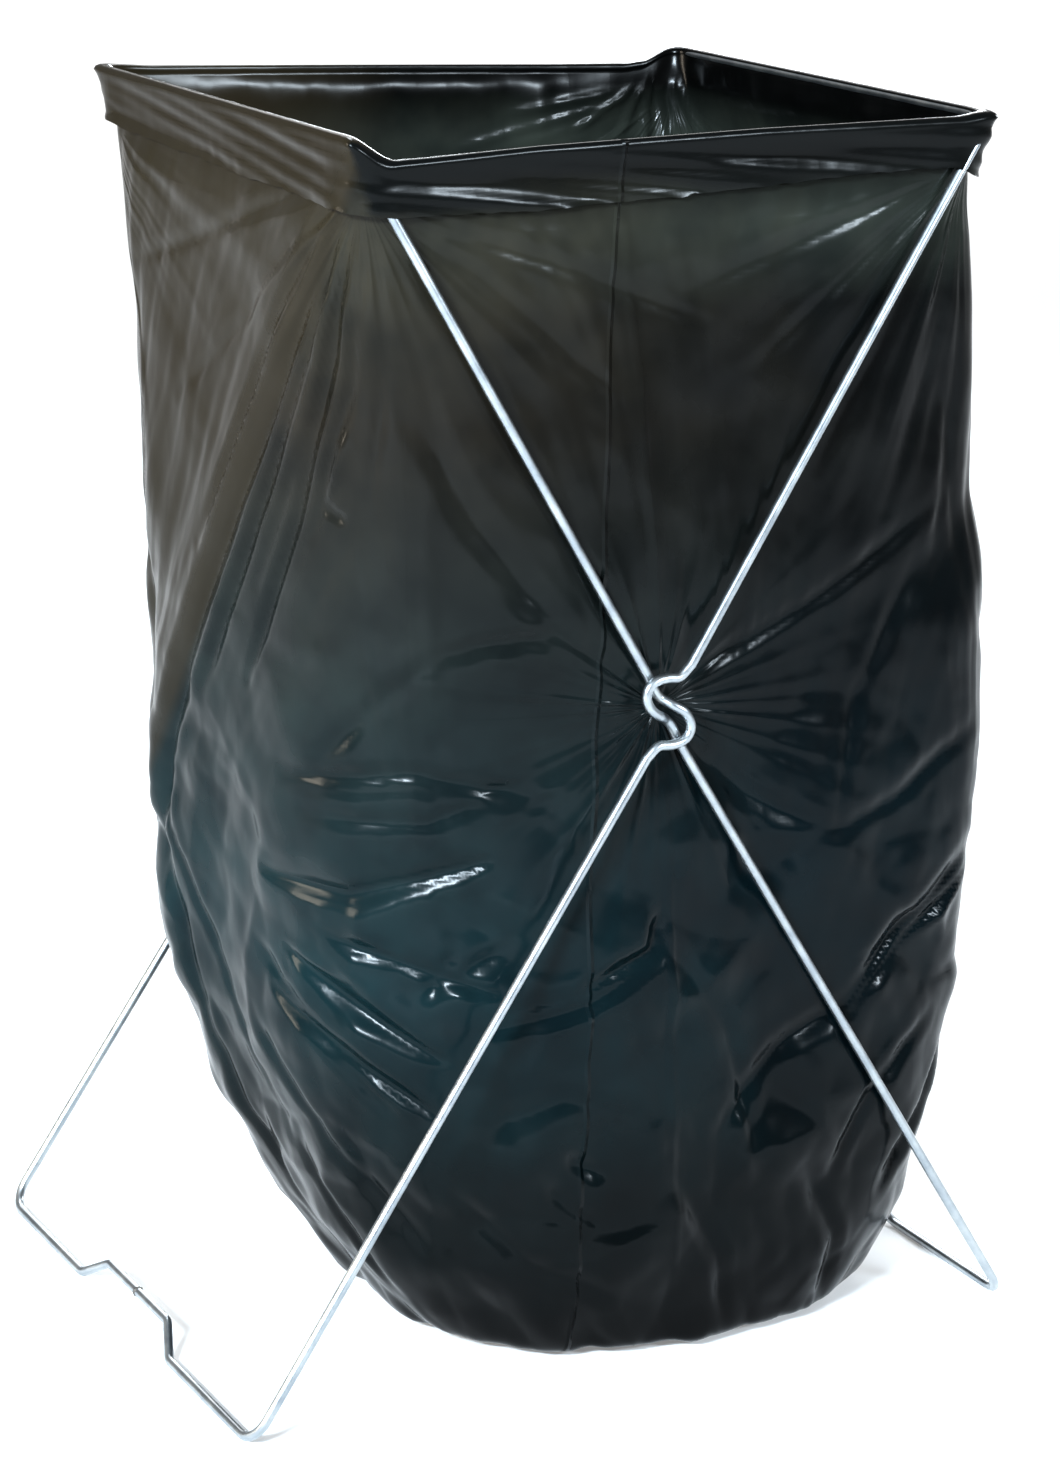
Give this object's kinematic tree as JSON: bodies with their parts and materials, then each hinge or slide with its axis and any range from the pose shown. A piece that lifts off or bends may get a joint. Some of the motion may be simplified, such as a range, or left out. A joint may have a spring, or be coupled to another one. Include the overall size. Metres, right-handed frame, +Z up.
{
  "type": "plastic bag holder",
  "caption": "Folding bent-wire stand made of clasped loops that holds a plastic bag open by its folded-over rim, free-standing on the floor.",
  "frame": {"origin": "centre of the footprint on the floor, under the middle of the mouth", "axes": "+Z up out of the bag's mouth; +X from the left top rail to the right one; -Y towards the front"},
  "size_m": [0.5206, 0.3884, 0.74],
  "materials": {
    "wire": "bright zinc plating",
    "weld": "dark weld scale",
    "film": "glossy thin film, slightly see-through"
  },
  "bodies": {
    "left_loop": {"left_top_rail": "wire", "left_upper_leg_front": "wire", "left_hook_front": "wire", "left_lower_leg_front": "wire", "left_foot_rail_front": "wire", "left_foot_weld": "weld", "left_foot_rail_back": "wire", "left_lower_leg_back": "wire", "left_hook_back": "wire", "left_upper_leg_back": "wire"},
    "right_loop": {"right_top_rail": "wire", "right_upper_leg_front": "wire", "right_hook_front": "wire", "right_lower_leg_front": "wire", "right_foot_rail_front": "wire", "right_foot_weld": "weld", "right_foot_rail_back": "wire", "right_lower_leg_back": "wire", "right_hook_back": "wire", "right_upper_leg_back": "wire"},
    "bag": {"bag_front_panel": "film", "bag_back_panel": "film", "bag_left_panel": "film", "bag_right_panel": "film", "bag_bottom": "film", "bag_cuff_front": "film", "bag_cuff_back": "film", "bag_cuff_left": "film", "bag_cuff_right": "film"}
  },
  "joints": [
    {"name": "fold", "type": "hinge", "parent": "left_loop", "child": "right_loop", "pos_m": [0, 0, 0.4085], "axis": [0, -1, 0], "range_deg": [0, 58], "deforming": ["bag_front_panel", "bag_back_panel", "bag_left_panel", "bag_right_panel", "bag_bottom", "bag_cuff_front", "bag_cuff_back", "bag_cuff_left", "bag_cuff_right"]},
    {"name": "bag_lift", "type": "slide", "parent": "left_loop", "child": "bag", "axis": [0, 0, 1], "range_m": [0, 0.78]}
  ]
}
